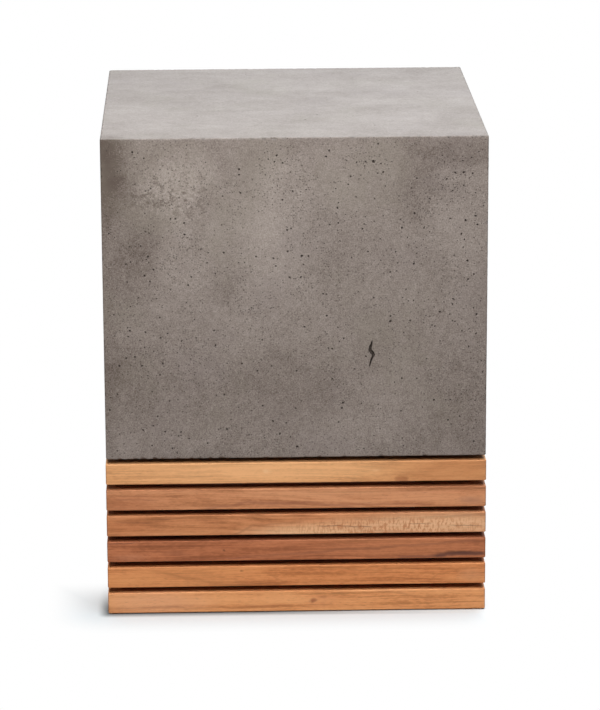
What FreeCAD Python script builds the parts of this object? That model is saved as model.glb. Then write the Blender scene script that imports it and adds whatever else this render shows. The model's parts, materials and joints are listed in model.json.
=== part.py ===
# Garden stool: a hollow cast concrete block on a plinth of horizontal teak slats.
#
# Millimetres, +Z up.  The origin is on the floor under the middle of the stool.  The front
# looks along -Y and the right side along +X.  Whatever repeats on the four sides is built
# once for the front and turned about Z.
import FreeCAD, Part
import math
import os

Vec = FreeCAD.Vector

# Driving dimensions: the block
SEAT_WIDTH = 355.6           # outside of the block, the same both ways
SEAT_HEIGHT = 457.2          # floor to the top of the block
BLOCK_HEIGHT = 304.8
BLOCK_WALL = 28.0            # walls and top
BLOCK_EDGE_RADIUS = 2.5
CAVITY_CORNER_RADIUS = 18.0  # upright corners inside the block
CAVITY_TOP_RADIUS = 12.0     # where the inside walls meet the underside of the seat

# Driving dimensions: the slat rings
RING_COUNT = 6
SLAT_HEIGHT = 20.0
SLAT_GAP = 5.4
SLAT_THICKNESS = 16.0
SLAT_ARRIS = 1.5
SLAT_PROUD = 0.5             # how far the slats stand out past the block
MITRE_GAP = 0.4
FLOOR_LIFT = 0.8             # floor to the lowest ring

# Driving dimensions: the frame inside the rings
POST_SIZE = 32.0
POST_ARRIS = 2.0
RAIL_WIDTH = 45.0
RAIL_HEIGHT = 20.0
RAIL_ARRIS = 1.5
RAIL_SETBACK = 0.5           # between the rails and the top ring
STRIP_THICKNESS = 3.0        # rubber bedding between the rails and the block

# Driving dimensions: glides and brackets
GLIDE_RADIUS = 9.0
GLIDE_THICKNESS = 4.0
GLIDE_EDGE_RADIUS = 1.0
GLIDE_OFFSET = 6.0           # from the middle of a post towards the corner of the stool
BRACKET_LENGTH = 40.0
BRACKET_UPRIGHT = 40.0
BRACKET_FOOT = 30.0
BRACKET_PLATE = 3.0
BRACKET_CORNER = 4.0
BRACKET_BOLT_HEIGHT = 25.0   # above the rails
BRACKET_SCREW_SPACING = 22.0
BRACKET_SCREW_INSET = 18.0   # from the wall of the block

# Fasteners
SCREW_RADIUS = 2.0
SCREW_HEAD_RADIUS = 4.0
SCREW_HEAD_DEPTH = 2.4
SCREW_TIP = 4.0
SCREW_DRIVE = 2.4            # square recess, across its flats
SCREW_DRIVE_DEPTH = 1.8
LONG_SCREW = 45.0
SHORT_SCREW = 18.0
SCREW_PLAY = 0.05            # between a screw and the hole that it cuts
SLAT_SCREW_OFFSET = 4.0      # front and back screws sit this far above the slat's middle, side
                             # screws this far below it, so that they pass in the posts
TOP_RING_SCREW_X = 90.0
RAIL_SCREW_OFFSET = 7.0      # from the mitre of the rails, along each axis
GLIDE_SCREW_RECESS = 0.8
BOLT_RADIUS = 3.0            # M6
BOLT_LENGTH = 16.0
BOLT_HEAD_ACROSS_FLATS = 10.0
BOLT_HEAD_HEIGHT = 4.0
BOLT_CLEARANCE = 0.3         # radial, in the brackets and the washers
THREAD_PLAY = 0.05
WASHER_RADIUS = 6.0
WASHER_THICKNESS = 1.6
INSERT_RADIUS = 5.0
INSERT_COLLAR_RADIUS = 6.5
INSERT_COLLAR_LENGTH = 3.0
INSERT_LENGTH = 15.0

# Modelling aids
PARALLEL = 0.999             # cosine above which an edge counts as parallel to an axis
HAIR = 0.01                  # how far an edge may lie from a plane and still be on it
OVERRUN = 1.0                # how far a cutting tool reaches past the face that it cuts

# Places that follow from the driving dimensions
block_half = SEAT_WIDTH / 2
block_bottom = SEAT_HEIGHT - BLOCK_HEIGHT
cavity_half = block_half - BLOCK_WALL
cavity_top = SEAT_HEIGHT - BLOCK_WALL
ring_half = block_half + SLAT_PROUD
post_outer = ring_half - SLAT_THICKNESS
post_inner = post_outer - POST_SIZE
post_middle = post_outer - POST_SIZE / 2
rail_top = block_bottom - STRIP_THICKNESS
rail_bottom = rail_top - RAIL_HEIGHT
rail_outer = post_outer - RAIL_SETBACK
rail_inner = rail_outer - RAIL_WIDTH
glide_centre = post_middle + GLIDE_OFFSET
bolt_height = rail_top + BRACKET_BOLT_HEIGHT

SIDES = {"front": 0, "right": 90, "back": 180, "left": 270}
CORNERS = {"front_right": 0, "back_right": 90, "back_left": 180, "front_left": 270}
UP = Vec(0, 0, 1)
DOWN = Vec(0, 0, -1)
OUTWARD = Vec(0, -1, 0)      # on the front side
INWARD = Vec(0, 1, 0)        # on the front side


def turned(shape, degrees):
    """A copy of the shape, turned about the stool's upright axis."""
    copy = shape.copy()
    copy.rotate(Vec(0, 0, 0), UP, degrees)
    return copy


def placed(shape, position, direction):
    """Move a fastener, built head up at the origin, so that it points along direction."""
    copy = shape.copy()
    copy.Placement = FreeCAD.Placement(position, FreeCAD.Rotation(DOWN, direction))
    return copy


def on_all_sides(shapes):
    return [turned(shape, degrees) for degrees in SIDES.values() for shape in shapes]


def prism(outline, bottom, height):
    """Upright prism on a closed outline of (x, y) corners."""
    corners = [Vec(x, y, bottom) for x, y in outline]
    face = Part.Face(Part.makePolygon(corners + corners[:1]))
    return face.extrude(UP * height)


def turned_profile(outline):
    """Solid of revolution about Z from a closed outline of (radius, z) points."""
    corners = [Vec(radius, 0, z) for radius, z in outline]
    face = Part.Face(Part.makePolygon(corners + corners[:1]))
    return face.revolve(Vec(0, 0, 0), UP, 360)


def edges_along(shape, axis):
    """The straight edges that run along an axis."""
    straight = [edge for edge in shape.Edges if isinstance(edge.Curve, Part.Line)]
    return [edge for edge in straight if abs(edge.Curve.Direction.dot(axis)) > PARALLEL]


def mitred_bar(outer, inner, bottom, height, arris):
    """Front bar of a square ring, mitred at both ends, with its long edges rounded."""
    setback = MITRE_GAP / 2 * math.sqrt(2)
    outline = [
        (-outer + setback, -outer),
        (outer - setback, -outer),
        (inner - setback, -inner),
        (-inner + setback, -inner),
    ]
    bar = prism(outline, bottom, height)
    return bar.makeFillet(arris, edges_along(bar, Vec(1, 0, 0)))


# Fasteners

def wood_screw(length):
    """Countersunk wood screw, its head's face at the origin and its point downwards."""
    body = turned_profile([
        (0, 0),
        (SCREW_HEAD_RADIUS, 0),
        (SCREW_RADIUS, -SCREW_HEAD_DEPTH),
        (SCREW_RADIUS, SCREW_TIP - length),
        (0, -length),
    ])
    corner = Vec(-SCREW_DRIVE / 2, -SCREW_DRIVE / 2, -SCREW_DRIVE_DEPTH)
    drive = Part.makeBox(SCREW_DRIVE, SCREW_DRIVE, 2 * SCREW_DRIVE_DEPTH, corner)
    return body.cut(drive)


def screw_hole(length, depth_of_head=0.0):
    """The hole of a wood screw whose head lies this far below the wood's face."""
    head_radius = SCREW_HEAD_RADIUS + SCREW_PLAY
    shank_radius = SCREW_RADIUS + SCREW_PLAY
    return turned_profile([
        (0, depth_of_head + OVERRUN),
        (head_radius, depth_of_head + OVERRUN),
        (head_radius, 0),
        (shank_radius, -SCREW_HEAD_DEPTH),
        (shank_radius, SCREW_TIP - length),
        (0, -length - SCREW_PLAY),
    ])


def ring_bottom(ring):
    """Underside of a ring of slats; ring 1 is the top one."""
    return FLOOR_LIFT + (RING_COUNT - ring) * (SLAT_HEIGHT + SLAT_GAP)


def slat_screw_places(ring, side):
    """Where the two screws of one slat have their heads, for a slat turned to the front."""
    across_x = side in ("front", "back")
    height = ring_bottom(ring) + SLAT_HEIGHT / 2
    height += SLAT_SCREW_OFFSET if across_x else -SLAT_SCREW_OFFSET
    x = TOP_RING_SCREW_X if ring == 1 else post_middle
    return [Vec(-x, -post_inner, height), Vec(x, -post_inner, height)]


def all_slat_screws(build):
    """A screw, or the tool for its hole, at every place where a slat is fixed."""
    shapes = []
    for side, degrees in SIDES.items():
        for ring in range(1, RING_COUNT + 1):
            for place in slat_screw_places(ring, side):
                shapes.append(turned(placed(build, place, OUTWARD), degrees))
    return shapes


def all_rail_screws(build):
    """One at each end of each rail, down through the rail into the post."""
    near = post_middle - RAIL_SCREW_OFFSET
    far = post_middle + RAIL_SCREW_OFFSET
    ends = [placed(build, Vec(x, -far, rail_top), DOWN) for x in (-near, near)]
    return on_all_sides(ends)


def all_bracket_screws(build):
    y = -cavity_half + BRACKET_SCREW_INSET
    top = rail_top + BRACKET_PLATE
    pair = [
        placed(build, Vec(x, y, top), DOWN)
        for x in (-BRACKET_SCREW_SPACING / 2, BRACKET_SCREW_SPACING / 2)
    ]
    return on_all_sides(pair)


def all_glide_screws(build):
    place = Vec(glide_centre, -glide_centre, GLIDE_SCREW_RECESS)
    return on_all_sides([placed(build, place, UP)])


def bracket_bolt():
    """Hexagon bolt, the underside of its head at the origin and its shank downwards."""
    radius = BOLT_HEAD_ACROSS_FLATS / math.sqrt(3)
    angles = [math.radians(60 * corner) for corner in range(6)]
    hexagon = [(radius * math.cos(angle), radius * math.sin(angle)) for angle in angles]
    head = prism(hexagon, 0, BOLT_HEAD_HEIGHT)
    shank = Part.makeCylinder(BOLT_RADIUS, BOLT_LENGTH, Vec(0, 0, 0), DOWN)
    return head.fuse(shank).removeSplitter()


def washer():
    """Flat washer lying on the plane of the origin."""
    disc = Part.makeCylinder(WASHER_RADIUS, WASHER_THICKNESS)
    return disc.cut(Part.makeCylinder(BOLT_RADIUS + BOLT_CLEARANCE, WASHER_THICKNESS))


def threaded_insert(bore=True):
    """Cast-in sleeve with an anchoring collar, its mouth at the origin."""
    outline = [
        (0, 0),
        (INSERT_RADIUS, 0),
        (INSERT_RADIUS, INSERT_COLLAR_LENGTH - INSERT_LENGTH),
        (INSERT_COLLAR_RADIUS, INSERT_COLLAR_LENGTH - INSERT_LENGTH),
        (INSERT_COLLAR_RADIUS, -INSERT_LENGTH),
        (0, -INSERT_LENGTH),
    ]
    sleeve = turned_profile(outline)
    if bore:
        thread = Part.makeCylinder(BOLT_RADIUS + THREAD_PLAY, INSERT_LENGTH, Vec(0, 0, 0), DOWN)
        sleeve = sleeve.cut(thread)
    return sleeve


# Pieces

def concrete_shell():
    """Block cast as a shell, open underneath, with a pocket round each insert."""
    corner = Vec(-block_half, -block_half, block_bottom)
    block = Part.makeBox(SEAT_WIDTH, SEAT_WIDTH, BLOCK_HEIGHT, corner)
    block = block.makeFillet(BLOCK_EDGE_RADIUS, block.Edges)
    depth = cavity_top - block_bottom
    core = Part.makeBox(2 * cavity_half, 2 * cavity_half, depth,
                        Vec(-cavity_half, -cavity_half, block_bottom))
    core = core.makeFillet(CAVITY_CORNER_RADIUS, edges_along(core, UP))
    top_edges = [edge for edge in core.Edges if edge.BoundBox.ZMin > cavity_top - HAIR]
    core = core.makeFillet(CAVITY_TOP_RADIUS, top_edges)
    pocket = placed(threaded_insert(bore=False), Vec(0, -cavity_half, bolt_height), OUTWARD)
    return block.cut([core] + on_all_sides([pocket]))


def slat(ring):
    """One slat of a ring, on the front side."""
    return mitred_bar(ring_half, post_outer, ring_bottom(ring), SLAT_HEIGHT, SLAT_ARRIS)


def corner_post():
    """Post at the front right corner, from the glide up to the rails."""
    corner = Vec(post_inner, -post_outer, GLIDE_THICKNESS)
    post = Part.makeBox(POST_SIZE, POST_SIZE, rail_bottom - GLIDE_THICKNESS, corner)
    return post.makeFillet(POST_ARRIS, edges_along(post, UP))


def top_rail():
    """Rail on the front side, mitred over the posts."""
    return mitred_bar(rail_outer, rail_inner, rail_bottom, RAIL_HEIGHT, RAIL_ARRIS)


def bedding_strip(side):
    """Strip under the rim of the block; front and back ones run past the side ones."""
    end = rail_outer if side in ("front", "back") else cavity_half
    width = rail_outer - cavity_half
    return Part.makeBox(2 * end, width, STRIP_THICKNESS, Vec(-end, -rail_outer, rail_top))


def glide():
    """Nylon disc under the front right post."""
    centre = Vec(glide_centre, -glide_centre, 0)
    disc = Part.makeCylinder(GLIDE_RADIUS, GLIDE_THICKNESS, centre)
    floor_edge = [edge for edge in disc.Edges if edge.BoundBox.ZMax < HAIR]
    return disc.makeFillet(GLIDE_EDGE_RADIUS, floor_edge)


def bracket():
    """Steel angle on the front side: its foot on the rail, its upright on the block's wall."""
    half = BRACKET_LENGTH / 2
    foot = Part.makeBox(BRACKET_LENGTH, BRACKET_FOOT, BRACKET_PLATE,
                        Vec(-half, -cavity_half, rail_top))
    foot_ends = [
        edge for edge in edges_along(foot, UP) if edge.BoundBox.YMin > -cavity_half + HAIR
    ]
    foot = foot.makeFillet(BRACKET_CORNER, foot_ends)
    upright = Part.makeBox(BRACKET_LENGTH, BRACKET_PLATE, BRACKET_UPRIGHT,
                           Vec(-half, -cavity_half, rail_top))
    upright_ends = [
        edge for edge in edges_along(upright, INWARD) if edge.BoundBox.ZMin > rail_top + HAIR
    ]
    upright = upright.makeFillet(BRACKET_CORNER, upright_ends)
    angle = foot.fuse(upright).removeSplitter()
    bolt_hole = Part.makeCylinder(BOLT_RADIUS + BOLT_CLEARANCE, BRACKET_PLATE,
                                  Vec(0, -cavity_half, bolt_height), INWARD)
    return angle.cut(bolt_hole)


def save(node, shapes):
    """Write one node; a group of loose solids is written as a compound."""
    shape = shapes[0] if len(shapes) == 1 else Part.makeCompound(shapes)
    shape.exportStep(os.path.join("parts", node + ".step"))


def main():
    os.makedirs("parts", exist_ok=True)
    slat_holes = all_slat_screws(screw_hole(LONG_SCREW, post_inner - rail_inner))
    rail_holes = all_rail_screws(screw_hole(LONG_SCREW))
    bracket_holes = all_bracket_screws(screw_hole(SHORT_SCREW))
    glide_holes = all_glide_screws(screw_hole(SHORT_SCREW, GLIDE_SCREW_RECESS))
    washer_face = -cavity_half + BRACKET_PLATE
    head_face = washer_face + WASHER_THICKNESS

    save("concrete_shell", [concrete_shell()])
    for side, degrees in SIDES.items():
        for ring in range(1, RING_COUNT + 1):
            save(f"slat_{side}_{ring}", [turned(slat(ring), degrees).cut(slat_holes)])
        rail = turned(top_rail(), degrees).cut(slat_holes + rail_holes + bracket_holes)
        save(f"top_rail_{side}", [rail])
        save(f"bedding_strip_{side}", [turned(bedding_strip(side), degrees)])
        save(f"bracket_{side}", [turned(bracket(), degrees).cut(bracket_holes)])
    for corner, degrees in CORNERS.items():
        post = turned(corner_post(), degrees).cut(slat_holes + rail_holes + glide_holes)
        save(f"corner_post_{corner}", [post])
        save(f"glide_{corner}", [turned(glide(), degrees).cut(glide_holes)])

    save("slat_screws", all_slat_screws(wood_screw(LONG_SCREW)))
    save("rail_screws", all_rail_screws(wood_screw(LONG_SCREW)))
    save("bracket_screws", all_bracket_screws(wood_screw(SHORT_SCREW)))
    save("glide_screws", all_glide_screws(wood_screw(SHORT_SCREW)))
    bolt = placed(bracket_bolt(), Vec(0, head_face, bolt_height), OUTWARD)
    save("bracket_bolts", on_all_sides([bolt]))
    bolt_washer = placed(washer(), Vec(0, washer_face, bolt_height), OUTWARD)
    save("bracket_washers", on_all_sides([bolt_washer]))
    insert = placed(threaded_insert(), Vec(0, -cavity_half, bolt_height), OUTWARD)
    save("threaded_inserts", on_all_sides([insert]))


main()
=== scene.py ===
# Garden stool, visual model: a cast concrete block on a plinth of horizontal teak slats.
#
# Metres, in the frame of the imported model: +Z up, the front looks along -Y.  The block and the
# slats are rebuilt here in detail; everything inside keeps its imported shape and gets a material.
import json
import math
import random

import bpy
import bmesh
from mathutils import Matrix, Vector, kdtree, noise
from mathutils.geometry import delaunay_2d_cdt

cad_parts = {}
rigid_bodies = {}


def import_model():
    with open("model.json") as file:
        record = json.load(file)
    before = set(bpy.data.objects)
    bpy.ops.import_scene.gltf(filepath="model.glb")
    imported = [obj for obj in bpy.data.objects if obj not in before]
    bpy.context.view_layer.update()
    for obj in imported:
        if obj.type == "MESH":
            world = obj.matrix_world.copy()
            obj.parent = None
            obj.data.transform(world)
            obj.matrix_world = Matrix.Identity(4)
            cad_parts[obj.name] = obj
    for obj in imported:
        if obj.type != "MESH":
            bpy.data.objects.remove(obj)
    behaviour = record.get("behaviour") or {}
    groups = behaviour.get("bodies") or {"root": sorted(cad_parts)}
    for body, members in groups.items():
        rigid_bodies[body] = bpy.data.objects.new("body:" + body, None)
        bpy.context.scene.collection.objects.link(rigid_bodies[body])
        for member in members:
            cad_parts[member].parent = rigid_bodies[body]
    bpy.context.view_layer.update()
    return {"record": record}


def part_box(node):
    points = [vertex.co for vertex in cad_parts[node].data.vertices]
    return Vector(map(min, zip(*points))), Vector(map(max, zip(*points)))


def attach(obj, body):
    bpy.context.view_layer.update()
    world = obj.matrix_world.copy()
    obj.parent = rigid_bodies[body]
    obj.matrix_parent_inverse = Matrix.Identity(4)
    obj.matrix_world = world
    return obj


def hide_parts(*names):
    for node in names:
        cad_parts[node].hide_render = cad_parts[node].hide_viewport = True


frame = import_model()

MM = 0.001

# Camera, looking down at the front from a little left of the middle
CAMERA_PLACE = Vector((-80.2, -3250.0, 1073.4)) * MM
CAMERA_HEADING = math.radians(1.57)      # to the right of straight on
CAMERA_PITCH = math.radians(14.97)       # below level
CAMERA_ROLL = math.radians(0.26)
LENS = 173.8                             # mm, on a sensor 36 mm wide
SENSOR_WIDTH = 36.0

# Block
BLOCK_ARRIS = 1.2 * MM
ARRIS_STEPS = 3
EDGE_SPACING = 1.4 * MM
GUARD_INSET = 1.2 * MM                   # a row of points that keeps arris losses off the flats
CAVITY_CORNER = 18.0 * MM
CAVITY_TOP_RADIUS = 12.0 * MM
BLOCK_WALL = 28.0 * MM
POCKET_RADIUS = 5.0 * MM
POCKET_COLLAR_RADIUS = 6.5 * MM
POCKET_DEPTH = 15.0 * MM
POCKET_COLLAR = 3.0 * MM
POCKET_CORNERS = 24
CAVITY_STEPS = 5                         # rings of the rounding under the ceiling
MERGE_DISTANCE = 0.01 * MM
SHARP_ANGLE = math.radians(38)

# Air holes
HOLE_MARGIN = BLOCK_ARRIS + GUARD_INSET + 1.4 * MM
HOLE_GAP = 0.3 * MM
HOLE_SPACING = 1.35                      # holes keep this times their radii apart, and the gap
HOLE_CELL = 4.0 * MM                     # grid in which neighbours are looked up
TRIES_PER_HOLE = 40
FRONT_HOLE_COUNT, SIDE_HOLE_COUNT, TOP_HOLE_COUNT = 1500, 520, 90
LARGE_HOLE_CORNERS, HOLE_CORNERS, SMALL_HOLE_CORNERS = 10, 9, 6
SMALL_HOLE_RADIUS = 0.5 * MM
HOLE_STEPS = ((0.86, 0.45), (0.50, 0.90))    # rings down a hole: shares of outline and depth
SMALL_HOLE_STEPS = ((0.66, 0.75),)
BLOCK_SEED, NICK_SEED = 41, 7

# Losses along the block's arrises
NICKS_PER_ARRIS = 34
NICK_SEARCH = 5 * MM                     # more than the reach of any nick
# Painted shade in an arris loss grows with its depth; a loss this deep gets the full painted shade
# of a hole's bottom.
FULL_SHADE_LOSS = 1.4 * MM                  # a loss this deep is as dark as the bottom of a hole
ARRIS_UNEVENNESS = 0.10 * MM

# Slats
SLAT_ARRIS = 1.1 * MM
SLAT_CORNER = 1.5 * MM                   # rounding of a ring's upright corners
SLAT_CORNER_DEPTH = 3 * MM               # the rounding fades out this far into the mitre
MITRE_GAP = 0.35 * MM
SLAT_BOW_MM, SLAT_LIFT_MM = 0.25, 0.2    # most that a slat's middle and ends are out of line
SLAT_SHARP_ANGLE = math.radians(40)
GRAIN_SHIFT = Vector((0.9, 0.037, 0.0))  # from one side's grain to the next side's

# Studio
FLOOR_RADIUS = 9.0
BASE_HALF = 0.178                        # half the base's width, for the floor's shading
SHADOW_REACH = 0.060                     # the floor is plain white this far from the base
BOUNCE_COLOUR = (0.38, 0.36, 0.34)       # of the floor, as the other surfaces see it
WORLD_GLOW = 0.13                        # of the world, as the surfaces see it

SIDES = ("front", "right", "back", "left")


# --------------------------------------------------------------------------------- materials

class Graph:
    """A material's node tree, built with short calls that return sockets."""

    def __init__(self, name):
        self.material = bpy.data.materials.new(name)
        self.material.use_nodes = True
        self.tree = self.material.node_tree
        self.tree.nodes.clear()

    def add(self, kind, inputs=None, **settings):
        node = self.tree.nodes.new(kind)
        for key, value in settings.items():
            setattr(node, key, value)
        for key, value in (inputs or {}).items():
            socket = node.inputs[key]
            if isinstance(value, bpy.types.NodeSocket):
                self.tree.links.new(value, socket)
            elif socket.type == "RGBA":
                socket.default_value = (*value, 1.0)
            else:
                socket.default_value = value
        return node

    def math(self, operation, a, b=0.0, clamp=False):
        return self.add("ShaderNodeMath", {0: a, 1: b}, operation=operation,
                        use_clamp=clamp).outputs[0]

    def vector(self, operation, *vectors):
        node = self.add("ShaderNodeVectorMath", dict(enumerate(vectors)), operation=operation)
        return node.outputs["Value"] if operation == "LENGTH" else node.outputs[0]

    def plus(self, a, b):
        return self.math("ADD", a, b)

    def times(self, a, b):
        return self.math("MULTIPLY", a, b)

    def scaled(self, vector, scale, move=(0, 0, 0)):
        return self.add("ShaderNodeMapping", {"Vector": vector, "Scale": scale,
                                              "Location": move}).outputs[0]

    def noise(self, vector, scale, detail=3.0, roughness=0.5, distortion=0.0):
        return self.add("ShaderNodeTexNoise", {
            "Vector": vector, "Scale": scale, "Detail": detail,
            "Roughness": roughness, "Distortion": distortion}).outputs["Fac"]

    def cells(self, vector, scale):
        """Distance to the nearest of some scattered points, and a random number for each."""
        node = self.add("ShaderNodeTexVoronoi", {"Vector": vector, "Scale": scale})
        chance = self.add("ShaderNodeSeparateXYZ", {0: node.outputs["Color"]}).outputs[0]
        return node.outputs["Distance"], chance

    def blend(self, *layers):
        """0.5 plus each noise's swing about 0.5 times its weight."""
        total = None
        for value, weight in layers:
            swing = self.times(self.plus(value, -0.5), weight)
            total = swing if total is None else self.plus(total, swing)
        return self.plus(total, 0.5)

    def warp(self, vector, scale, reach):
        """The vector moved about by up to half of reach, so that shapes made with it are uneven."""
        wander = self.add("ShaderNodeTexNoise", {"Vector": vector, "Scale": scale, "Detail": 4.0,
                                                 "Roughness": 0.6}).outputs["Color"]
        centred = self.vector("SUBTRACT", wander, (0.5, 0.5, 0.5))
        return self.vector("MULTIPLY_ADD", centred, reach, vector)

    def line(self, value, low, high, out_low=0.0, out_high=1.0, shape="LINEAR"):
        """Straight run from out_low to out_high while value goes from low to high."""
        return self.add("ShaderNodeMapRange", {
            "Value": value, "From Min": low, "From Max": high,
            "To Min": out_low, "To Max": out_high}, interpolation_type=shape).outputs[0]

    def ramp(self, value, low, high, out_low=0.0, out_high=1.0):
        """Smooth version of line(), level at both ends."""
        return self.line(value, low, high, out_low, out_high, "SMOOTHSTEP")

    def mix_number(self, factor, a, b):
        return self.add("ShaderNodeMix", {0: factor, 2: a, 3: b}, data_type="FLOAT").outputs[0]

    def mix(self, factor, a, b):
        return self.add("ShaderNodeMix", {0: factor, 6: a, 7: b}, data_type="RGBA").outputs[2]

    def spot(self, vector, centre, radii):
        """1 near the centre of an ellipsoid given in millimetres, and 0 outside it."""
        moved = self.vector("SUBTRACT", vector, Vector(centre) * MM)
        shrunk = self.vector("DIVIDE", moved, Vector(radii) * MM)
        return self.ramp(self.vector("LENGTH", shrunk), 1.0, 0.15)

    def surface(self, colour, roughness, height, bump_distance, **constants):
        """The finished material; each constant is named after its socket."""
        bump = self.add("ShaderNodeBump", {"Height": height, "Distance": bump_distance,
                                           "Strength": 1.0})
        inputs = {"Base Color": colour, "Roughness": roughness, "Normal": bump.outputs[0]}
        inputs.update({key.replace("_", " "): value for key, value in constants.items()})
        shader = self.add("ShaderNodeBsdfPrincipled", inputs)
        self.add("ShaderNodeOutputMaterial", {0: shader.outputs[0]})
        return self.material


def object_place(graph):
    return graph.add("ShaderNodeTexCoord").outputs["Object"]


CONCRETE_DARK, CONCRETE_LIGHT = (0.108, 0.083, 0.071), (0.416, 0.372, 0.347)
CONCRETE_OLIVE, CONCRETE_MAUVE = (0.262, 0.238, 0.200), (0.250, 0.215, 0.208)
# PIT_SHADE_COLOUR is painted shade for the insides of the air holes and of the arris losses.
SPECK_COLOUR, PIT_SHADE_COLOUR = (0.058, 0.046, 0.038), (0.045, 0.035, 0.029)
# Between these heights the concrete goes from painted shade at its foot to painted light near its
# top.
SHADE_RAMP_FOOT, SHADE_RAMP_HEAD = 0.15, 0.46      # heights between which the concrete gets lighter


def concrete():
    g = Graph("cast_concrete")
    place = object_place(g)
    warped = g.warp(place, 17, (0.055, 0.055, 0.055))
    cloud = g.noise(place, 6.5, 5, 0.55, 0.8)
    billow = g.noise(g.scaled(warped, (1, 1, 0.7), (3.1, 0.4, 1.7)), 26, 4, 0.6, 0.4)
    mottle = g.noise(place, 95, 4, 0.65)
    fine = g.noise(place, 290, 3, 0.65)
    grit = g.noise(place, 760, 3, 0.7)
    tone = g.blend((cloud, 0.25), (billow, 0.23), (mottle, 0.15), (fine, 0.28), (grit, 0.78))
    above_floor = g.add("ShaderNodeSeparateXYZ", {0: place}).outputs[2]
    # Painted light and shade: darker low on the block, lighter towards its top.
    tone = g.plus(tone, g.line(above_floor, SHADE_RAMP_FOOT, SHADE_RAMP_HEAD, -0.045, 0.030))
    for centre, radii, amount in CONCRETE_PATCHES:
        tone = g.plus(tone, g.times(g.spot(warped, centre, radii), amount))
    blotched = g.spot(warped, *BLOTCHED_AREA)
    fleck = g.times(g.ramp(g.noise(place, 400, 3, 0.6), 0.52, 0.62), blotched)
    blotch = g.times(g.ramp(g.noise(place, 170, 3, 0.7), 0.51, 0.61), blotched)
    tone = g.plus(tone, g.plus(g.times(fleck, 0.26), g.times(blotch, -0.26)))

    facing = g.add("ShaderNodeNewGeometry").outputs["Normal"]
    trowelled = g.ramp(g.add("ShaderNodeSeparateXYZ", {0: facing}).outputs[2], 0.6, 0.9)
    calm = g.blend((billow, 0.12), (cloud, 0.1), (mottle, 0.06))
    tone = g.mix_number(g.times(trowelled, 0.55), tone, calm)
    smear = g.noise(g.scaled(place, (0.3, 1, 1)), 38, 4, 0.6, 0.6)
    tone = g.plus(tone, g.times(g.times(g.plus(smear, -0.5), trowelled), 0.12))

    colour = g.mix(g.line(tone, 0.22, 0.78), CONCRETE_DARK, CONCRETE_LIGHT)
    hue = g.noise(g.scaled(warped, (1, 1, 1), (7.0, 2.0, 5.0)), 13, 3, 0.6)
    colour = g.mix(g.ramp(hue, 0.50, 0.72, 0.0, 0.30), colour, CONCRETE_OLIVE)
    colour = g.mix(g.ramp(hue, 0.48, 0.28, 0.0, 0.30), colour, CONCRETE_MAUVE)

    distance, chance = g.cells(place, 430)
    crowd = g.ramp(g.noise(warped, 21, 3, 0.6), 0.44, 0.64, 0.06, 0.75)
    picked = g.math("LESS_THAN", chance, crowd)
    speck = g.times(g.ramp(distance, 0.34, 0.14), picked)
    speck = g.times(speck, g.ramp(trowelled, 0.0, 1.0, 1.0, 0.12))
    colour = g.mix(g.times(speck, 0.70), colour, SPECK_COLOUR)
    # Painted shade: the holes and the losses along the arrises are darkened through their pit
    # attribute.
    pit_shade = g.add("ShaderNodeAttribute", attribute_name="pit_shade").outputs["Fac"]
    colour = g.mix(g.times(pit_shade, 0.78), colour, PIT_SHADE_COLOUR)

    roughness = g.plus(g.ramp(tone, 0.3, 0.7, 0.82, 0.64), g.times(pit_shade, 0.15))
    height = g.plus(g.times(fine, 0.5), g.times(grit, 0.5))
    height = g.plus(height, g.times(speck, -0.7))
    return g.surface(colour, roughness, height, 0.0003, Specular_IOR_Level=0.35)


# Cloudy patches of the block, and painted shade along the front's upright edges: middle and radii
# in millimetres, and how much lighter, or darker where that is below nought
CONCRETE_PATCHES = [
    ((-101, -178, 422), (44, 30, 32), 0.170),
    ((-112, -178, 388), (34, 30, 44), 0.080),
    ((-17, -178, 372), (40, 30, 92), 0.130),
    ((-60, -178, 390), (30, 30, 50), 0.050),
    ((20, -178, 420), (80, 30, 44), 0.040),
    ((-90, -178, 165), (44, 30, 20), 0.070),
    ((141, -178, 426), (28, 30, 20), 0.060),
    ((140, -178, 385), (24, 30, 22), 0.040),
    ((-174, -178, 440), (42, 30, 80), -0.380),
    ((-144, -178, 362), (28, 30, 86), -0.140),
    ((-66, -178, 325), (26, 30, 44), -0.100),
    ((150, -178, 448), (64, 30, 26), -0.120),
    ((118, -178, 420), (50, 30, 60), -0.130),
    ((-140, -178, 235), (60, 30, 70), -0.060),
    ((-10, -178, 235), (120, 30, 56), -0.060),
    ((150, -178, 180), (80, 30, 50), -0.040),
    # These two darken the front along its upright edges: painted shade.
    ((-178, -178, 300), (30, 30, 210), -0.110),
    ((178, -178, 220), (22, 30, 150), -0.030),
    ((-33, -5, 457), (40, 18, 20), -0.060),
    ((152, -95, 457), (22, 60, 20), -0.040),
    ((-160, -110, 457), (26, 24, 20), -0.040),
]

# Area of small light flecks and dark blotches: middle and radii in millimetres
BLOTCHED_AREA = ((-113, -178, 405), (44, 30, 44))


GROWTH_RINGS = 75.0                      # how closely the curved lines of growth lie
GAP_SHADE_DEPTH = 0.0008, 0.0028              # metres into a gap between which painted shade darkens the slat


def scaled_colour(colour, share):
    return tuple(share * value for value in colour)


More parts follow.
